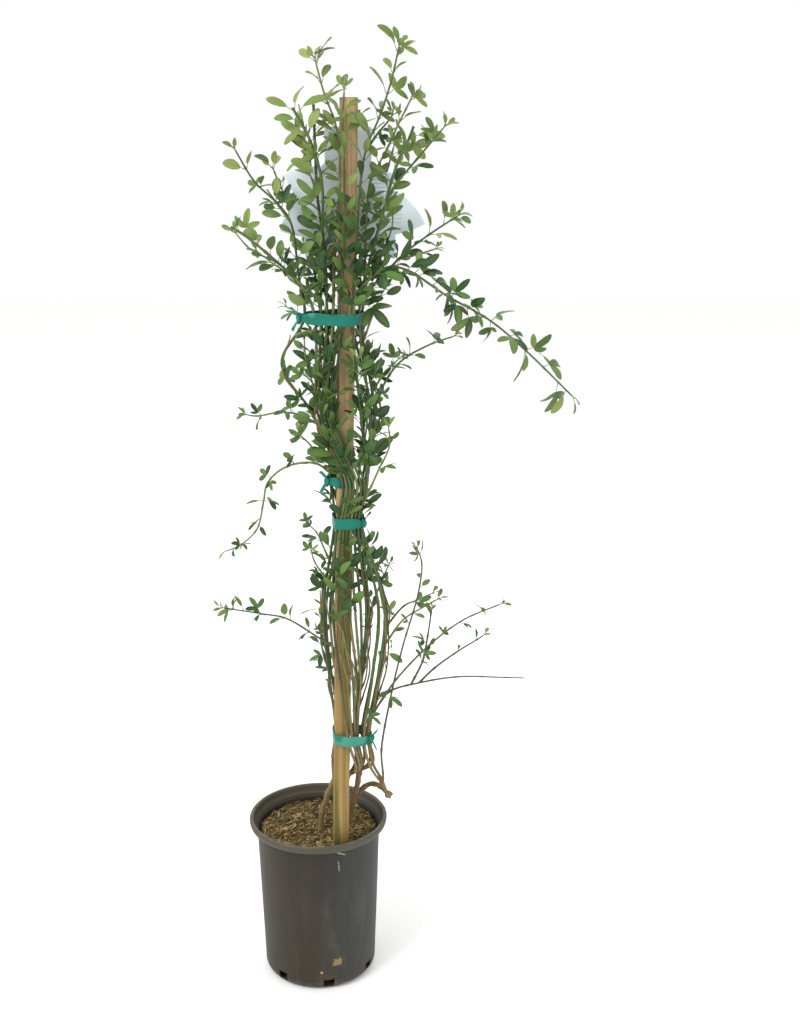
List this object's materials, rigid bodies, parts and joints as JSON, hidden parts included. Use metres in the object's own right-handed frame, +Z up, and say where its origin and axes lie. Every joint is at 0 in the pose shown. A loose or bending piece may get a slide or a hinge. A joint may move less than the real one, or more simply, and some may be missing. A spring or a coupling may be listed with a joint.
{
  "type": "potted winter jasmine",
  "caption": "Winter jasmine in a round nursery pot: slim green canes tied to a square wooden stake, leafy crown, long side shoots and a flower-shaped care tag.",
  "frame": {"origin": "middle of the pot's flat base, on the ground", "axes": "+Z up along the pot's axis, +Y away from the viewer of the picture, +X to the viewer's right"},
  "size_m": [0.3802, 0.2051, 1.0958],
  "materials": {
    "pot": "satin",
    "soil": "matte",
    "stake": "matte",
    "tag": "satin",
    "tape": "gloss",
    "foliage": "satin"
  },
  "bodies": {
    "root": {"pot": "pot", "soil": "soil", "stake": "stake", "care_tag": "tag", "tie_low": "tape", "tie_middle": "tape", "tie_upper": "tape", "tie_top": "tape", "plant_right": "foliage", "plant_centre": "foliage", "plant_left": "foliage"}
  },
  "joints": []
}
